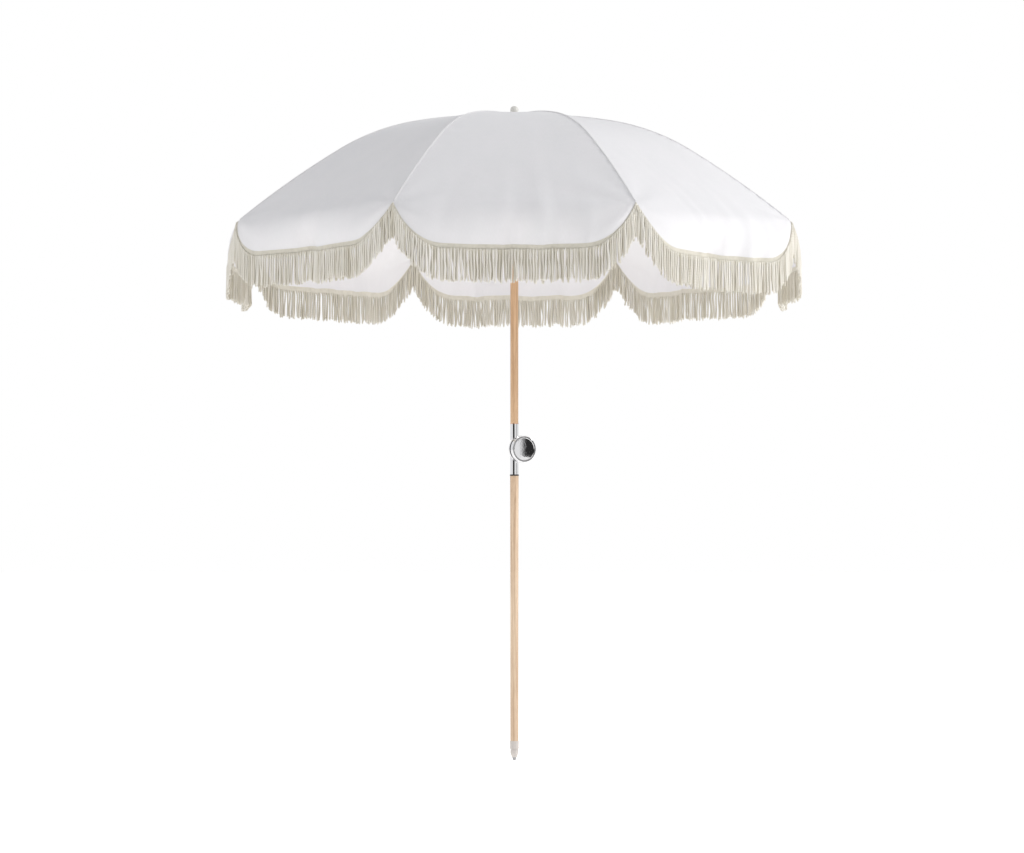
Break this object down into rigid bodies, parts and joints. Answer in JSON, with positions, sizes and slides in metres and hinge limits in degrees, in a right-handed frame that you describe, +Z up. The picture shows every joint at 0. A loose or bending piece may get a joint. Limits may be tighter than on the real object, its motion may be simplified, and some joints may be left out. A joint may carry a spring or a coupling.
{
  "type": "beach umbrella",
  "caption": "Beach umbrella with a scalloped, fringed canopy on folding ribs, a two-part wooden pole and a side-mounted tilt joint with a round clamp knob.",
  "frame": {"origin": "centre of the ground tip's lower end", "axes": "+Z up the pole, -Y the front, with the tilt joint's clamp knob turned from the front towards +X"},
  "size_m": [1.9586, 1.9586, 2.3],
  "materials": {
    "tip_point": "matte",
    "tip_collar": "satin",
    "lower_wood": "satin oiled",
    "black_ring": "satin",
    "chrome": "polished",
    "fibre_washer": "matte",
    "steel": "brushed",
    "trim_ring": "satin",
    "upper_wood": "satin oiled",
    "white_plastic": "satin",
    "canopy": "woven",
    "knob_face": "brushed",
    "grey_plastic": "satin",
    "rib_paint": "satin",
    "fittings": "satin"
  },
  "bodies": {
    "lower_mast": {"tip_point": "tip_point", "tip_collar": "tip_collar", "lower_pole": "lower_wood", "seat_ring": "black_ring", "lower_tilt_arm": "chrome", "friction_washer": "fibre_washer", "pivot_bolt": "steel"},
    "upper_mast": {"upper_tilt_arm": "chrome", "trim_ring": "trim_ring", "upper_pole": "upper_wood", "crown_hub": "white_plastic", "crown_pins": "steel", "crown_washer": "white_plastic", "crown_patch": "canopy", "finial": "white_plastic"},
    "clamp_knob": {"clamp_knob": "chrome", "knob_face": "knob_face"},
    "runner": {"runner": "white_plastic"},
    "runner_button": {"runner_button": "grey_plastic"},
    "rib_1": {"rib_1": "rib_paint", "rib_1_fittings": "fittings"},
    "stretcher_1": {"stretcher_1": "rib_paint"},
    "canopy_1_left": {"canopy_1_left": "canopy"},
    "canopy_1_right": {"canopy_1_right": "canopy"},
    "rib_2": {"rib_2": "rib_paint", "rib_2_fittings": "fittings"},
    "stretcher_2": {"stretcher_2": "rib_paint"},
    "canopy_2_left": {"canopy_2_left": "canopy"},
    "canopy_2_right": {"canopy_2_right": "canopy"},
    "rib_3": {"rib_3": "rib_paint", "rib_3_fittings": "fittings"},
    "stretcher_3": {"stretcher_3": "rib_paint"},
    "canopy_3_left": {"canopy_3_left": "canopy"},
    "canopy_3_right": {"canopy_3_right": "canopy"},
    "rib_4": {"rib_4": "rib_paint", "rib_4_fittings": "fittings"},
    "stretcher_4": {"stretcher_4": "rib_paint"},
    "canopy_4_left": {"canopy_4_left": "canopy"},
    "canopy_4_right": {"canopy_4_right": "canopy"},
    "rib_5": {"rib_5": "rib_paint", "rib_5_fittings": "fittings"},
    "stretcher_5": {"stretcher_5": "rib_paint"},
    "canopy_5_left": {"canopy_5_left": "canopy"},
    "canopy_5_right": {"canopy_5_right": "canopy"},
    "rib_6": {"rib_6": "rib_paint", "rib_6_fittings": "fittings"},
    "stretcher_6": {"stretcher_6": "rib_paint"},
    "canopy_6_left": {"canopy_6_left": "canopy"},
    "canopy_6_right": {"canopy_6_right": "canopy"},
    "rib_7": {"rib_7": "rib_paint", "rib_7_fittings": "fittings"},
    "stretcher_7": {"stretcher_7": "rib_paint"},
    "canopy_7_left": {"canopy_7_left": "canopy"},
    "canopy_7_right": {"canopy_7_right": "canopy"},
    "rib_8": {"rib_8": "rib_paint", "rib_8_fittings": "fittings"},
    "stretcher_8": {"stretcher_8": "rib_paint"},
    "canopy_8_left": {"canopy_8_left": "canopy"},
    "canopy_8_right": {"canopy_8_right": "canopy"}
  },
  "joints": [
    {"name": "tilt", "type": "hinge", "parent": "lower_mast", "child": "upper_mast", "pos_m": [0.01916, 0.00976, 1.0875], "axis": [-0.454, 0.891, 0], "range_deg": [0, 60]},
    {"name": "clamp_turn", "type": "hinge", "parent": "lower_mast", "child": "clamp_knob", "pos_m": [0.01916, 0.00976, 1.0875], "axis": [0.454, -0.891, 0], "range_deg": [0, 360]},
    {"name": "runner_slide", "type": "slide", "parent": "upper_mast", "child": "runner", "axis": [0, 0, -1], "range_m": [0, 0.52515]},
    {"name": "button_press", "type": "slide", "parent": "runner", "child": "runner_button", "axis": [-0.9239, -0.3827, 0], "range_m": [0, 0.0015], "stiffness_N_per_m": 600, "springref_m": -0.002},
    {"name": "rib_1_fold", "type": "hinge", "parent": "upper_mast", "child": "rib_1", "pos_m": [0.02402, 0.00995, 2.257], "axis": [-0.3827, 0.9239, 0], "range_deg": [0, 64]},
    {"name": "stretcher_1_fold", "type": "hinge", "parent": "rib_1", "child": "stretcher_1", "pos_m": [0.39458, 0.16344, 2.1927], "axis": [0.3827, -0.9239, 0], "range_deg": [0, 107.35]},
    {"name": "canopy_1_left_pleat", "type": "hinge", "parent": "rib_1", "child": "canopy_1_left", "pos_m": [0.0614, 0.00581, 2.23735], "axis": [0.6329, -0.6183, -0.466], "range_deg": [0, 35.31], "deforming": ["canopy_1_left"]},
    {"name": "canopy_1_right_pleat", "type": "hinge", "parent": "rib_1", "child": "canopy_1_right", "pos_m": [0.04752, 0.03931, 2.23735], "axis": [-0.0103, -0.8847, 0.466], "range_deg": [0, 35.31], "deforming": ["canopy_1_right"]},
    {"name": "rib_2_fold", "type": "hinge", "parent": "upper_mast", "child": "rib_2", "pos_m": [0.00995, 0.02402, 2.257], "axis": [-0.9239, 0.3827, 0], "range_deg": [0, 64]},
    {"name": "stretcher_2_fold", "type": "hinge", "parent": "rib_2", "child": "stretcher_2", "pos_m": [0.16344, 0.39458, 2.1927], "axis": [0.9239, -0.3827, 0], "range_deg": [0, 107.35]},
    {"name": "canopy_2_left_pleat", "type": "hinge", "parent": "rib_2", "child": "canopy_2_left", "pos_m": [0.03931, 0.04752, 2.23735], "axis": [0.8847, 0.0103, -0.466], "range_deg": [0, 35.31], "deforming": ["canopy_2_left"]},
    {"name": "canopy_2_right_pleat", "type": "hinge", "parent": "rib_2", "child": "canopy_2_right", "pos_m": [0.00581, 0.0614, 2.23735], "axis": [0.6183, -0.6329, 0.466], "range_deg": [0, 35.31], "deforming": ["canopy_2_right"]},
    {"name": "rib_3_fold", "type": "hinge", "parent": "upper_mast", "child": "rib_3", "pos_m": [-0.00995, 0.02402, 2.257], "axis": [-0.9239, -0.3827, 0], "range_deg": [0, 64]},
    {"name": "stretcher_3_fold", "type": "hinge", "parent": "rib_3", "child": "stretcher_3", "pos_m": [-0.16344, 0.39458, 2.1927], "axis": [0.9239, 0.3827, 0], "range_deg": [0, 107.35]},
    {"name": "canopy_3_left_pleat", "type": "hinge", "parent": "rib_3", "child": "canopy_3_left", "pos_m": [-0.00581, 0.0614, 2.23735], "axis": [0.6183, 0.6329, -0.466], "range_deg": [0, 35.31], "deforming": ["canopy_3_left"]},
    {"name": "canopy_3_right_pleat", "type": "hinge", "parent": "rib_3", "child": "canopy_3_right", "pos_m": [-0.03931, 0.04752, 2.23735], "axis": [0.8847, -0.0103, 0.466], "range_deg": [0, 35.31], "deforming": ["canopy_3_right"]},
    {"name": "rib_4_fold", "type": "hinge", "parent": "upper_mast", "child": "rib_4", "pos_m": [-0.02402, 0.00995, 2.257], "axis": [-0.3827, -0.9239, 0], "range_deg": [0, 64]},
    {"name": "stretcher_4_fold", "type": "hinge", "parent": "rib_4", "child": "stretcher_4", "pos_m": [-0.39458, 0.16344, 2.1927], "axis": [0.3827, 0.9239, 0], "range_deg": [0, 107.35]},
    {"name": "canopy_4_left_pleat", "type": "hinge", "parent": "rib_4", "child": "canopy_4_left", "pos_m": [-0.04752, 0.03931, 2.23735], "axis": [-0.0103, 0.8847, -0.466], "range_deg": [0, 35.31], "deforming": ["canopy_4_left"]},
    {"name": "canopy_4_right_pleat", "type": "hinge", "parent": "rib_4", "child": "canopy_4_right", "pos_m": [-0.0614, 0.00581, 2.23735], "axis": [0.6329, 0.6183, 0.466], "range_deg": [0, 35.31], "deforming": ["canopy_4_right"]},
    {"name": "rib_5_fold", "type": "hinge", "parent": "upper_mast", "child": "rib_5", "pos_m": [-0.02402, -0.00995, 2.257], "axis": [0.3827, -0.9239, 0], "range_deg": [0, 64]},
    {"name": "stretcher_5_fold", "type": "hinge", "parent": "rib_5", "child": "stretcher_5", "pos_m": [-0.39458, -0.16344, 2.1927], "axis": [-0.3827, 0.9239, 0], "range_deg": [0, 107.35]},
    {"name": "canopy_5_left_pleat", "type": "hinge", "parent": "rib_5", "child": "canopy_5_left", "pos_m": [-0.0614, -0.00581, 2.23735], "axis": [-0.6329, 0.6183, -0.466], "range_deg": [0, 35.31], "deforming": ["canopy_5_left"]},
    {"name": "canopy_5_right_pleat", "type": "hinge", "parent": "rib_5", "child": "canopy_5_right", "pos_m": [-0.04752, -0.03931, 2.23735], "axis": [0.0103, 0.8847, 0.466], "range_deg": [0, 35.31], "deforming": ["canopy_5_right"]},
    {"name": "rib_6_fold", "type": "hinge", "parent": "upper_mast", "child": "rib_6", "pos_m": [-0.00995, -0.02402, 2.257], "axis": [0.9239, -0.3827, 0], "range_deg": [0, 64]},
    {"name": "stretcher_6_fold", "type": "hinge", "parent": "rib_6", "child": "stretcher_6", "pos_m": [-0.16344, -0.39458, 2.1927], "axis": [-0.9239, 0.3827, 0], "range_deg": [0, 107.35]},
    {"name": "canopy_6_left_pleat", "type": "hinge", "parent": "rib_6", "child": "canopy_6_left", "pos_m": [-0.03931, -0.04752, 2.23735], "axis": [-0.8847, -0.0103, -0.466], "range_deg": [0, 35.31], "deforming": ["canopy_6_left"]},
    {"name": "canopy_6_right_pleat", "type": "hinge", "parent": "rib_6", "child": "canopy_6_right", "pos_m": [-0.00581, -0.0614, 2.23735], "axis": [-0.6183, 0.6329, 0.466], "range_deg": [0, 35.31], "deforming": ["canopy_6_right"]},
    {"name": "rib_7_fold", "type": "hinge", "parent": "upper_mast", "child": "rib_7", "pos_m": [0.00995, -0.02402, 2.257], "axis": [0.9239, 0.3827, 0], "range_deg": [0, 64]},
    {"name": "stretcher_7_fold", "type": "hinge", "parent": "rib_7", "child": "stretcher_7", "pos_m": [0.16344, -0.39458, 2.1927], "axis": [-0.9239, -0.3827, 0], "range_deg": [0, 107.35]},
    {"name": "canopy_7_left_pleat", "type": "hinge", "parent": "rib_7", "child": "canopy_7_left", "pos_m": [0.00581, -0.0614, 2.23735], "axis": [-0.6183, -0.6329, -0.466], "range_deg": [0, 35.31], "deforming": ["canopy_7_left"]},
    {"name": "canopy_7_right_pleat", "type": "hinge", "parent": "rib_7", "child": "canopy_7_right", "pos_m": [0.03931, -0.04752, 2.23735], "axis": [-0.8847, 0.0103, 0.466], "range_deg": [0, 35.31], "deforming": ["canopy_7_right"]},
    {"name": "rib_8_fold", "type": "hinge", "parent": "upper_mast", "child": "rib_8", "pos_m": [0.02402, -0.00995, 2.257], "axis": [0.3827, 0.9239, 0], "range_deg": [0, 64]},
    {"name": "stretcher_8_fold", "type": "hinge", "parent": "rib_8", "child": "stretcher_8", "pos_m": [0.39458, -0.16344, 2.1927], "axis": [-0.3827, -0.9239, 0], "range_deg": [0, 107.35]},
    {"name": "canopy_8_left_pleat", "type": "hinge", "parent": "rib_8", "child": "canopy_8_left", "pos_m": [0.04752, -0.03931, 2.23735], "axis": [0.0103, -0.8847, -0.466], "range_deg": [0, 35.31], "deforming": ["canopy_8_left"]},
    {"name": "canopy_8_right_pleat", "type": "hinge", "parent": "rib_8", "child": "canopy_8_right", "pos_m": [0.0614, -0.00581, 2.23735], "axis": [-0.6329, -0.6183, 0.466], "range_deg": [0, 35.31], "deforming": ["canopy_8_right"]}
  ],
  "couplings": [
    {"joint": "rib_1_fold", "follows": "runner_slide", "rad_per_m": 2.127},
    {"joint": "stretcher_1_fold", "follows": "runner_slide", "rad_per_m": 3.5678},
    {"joint": "canopy_1_left_pleat", "follows": "runner_slide", "rad_per_m": 1.1735},
    {"joint": "canopy_1_right_pleat", "follows": "runner_slide", "rad_per_m": 1.1735},
    {"joint": "rib_2_fold", "follows": "runner_slide", "rad_per_m": 2.127},
    {"joint": "stretcher_2_fold", "follows": "runner_slide", "rad_per_m": 3.5678},
    {"joint": "canopy_2_left_pleat", "follows": "runner_slide", "rad_per_m": 1.1735},
    {"joint": "canopy_2_right_pleat", "follows": "runner_slide", "rad_per_m": 1.1735},
    {"joint": "rib_3_fold", "follows": "runner_slide", "rad_per_m": 2.127},
    {"joint": "stretcher_3_fold", "follows": "runner_slide", "rad_per_m": 3.5678},
    {"joint": "canopy_3_left_pleat", "follows": "runner_slide", "rad_per_m": 1.1735},
    {"joint": "canopy_3_right_pleat", "follows": "runner_slide", "rad_per_m": 1.1735},
    {"joint": "rib_4_fold", "follows": "runner_slide", "rad_per_m": 2.127},
    {"joint": "stretcher_4_fold", "follows": "runner_slide", "rad_per_m": 3.5678},
    {"joint": "canopy_4_left_pleat", "follows": "runner_slide", "rad_per_m": 1.1735},
    {"joint": "canopy_4_right_pleat", "follows": "runner_slide", "rad_per_m": 1.1735},
    {"joint": "rib_5_fold", "follows": "runner_slide", "rad_per_m": 2.127},
    {"joint": "stretcher_5_fold", "follows": "runner_slide", "rad_per_m": 3.5678},
    {"joint": "canopy_5_left_pleat", "follows": "runner_slide", "rad_per_m": 1.1735},
    {"joint": "canopy_5_right_pleat", "follows": "runner_slide", "rad_per_m": 1.1735},
    {"joint": "rib_6_fold", "follows": "runner_slide", "rad_per_m": 2.127},
    {"joint": "stretcher_6_fold", "follows": "runner_slide", "rad_per_m": 3.5678},
    {"joint": "canopy_6_left_pleat", "follows": "runner_slide", "rad_per_m": 1.1735},
    {"joint": "canopy_6_right_pleat", "follows": "runner_slide", "rad_per_m": 1.1735},
    {"joint": "rib_7_fold", "follows": "runner_slide", "rad_per_m": 2.127},
    {"joint": "stretcher_7_fold", "follows": "runner_slide", "rad_per_m": 3.5678},
    {"joint": "canopy_7_left_pleat", "follows": "runner_slide", "rad_per_m": 1.1735},
    {"joint": "canopy_7_right_pleat", "follows": "runner_slide", "rad_per_m": 1.1735},
    {"joint": "rib_8_fold", "follows": "runner_slide", "rad_per_m": 2.127},
    {"joint": "stretcher_8_fold", "follows": "runner_slide", "rad_per_m": 3.5678},
    {"joint": "canopy_8_left_pleat", "follows": "runner_slide", "rad_per_m": 1.1735},
    {"joint": "canopy_8_right_pleat", "follows": "runner_slide", "rad_per_m": 1.1735}
  ]
}
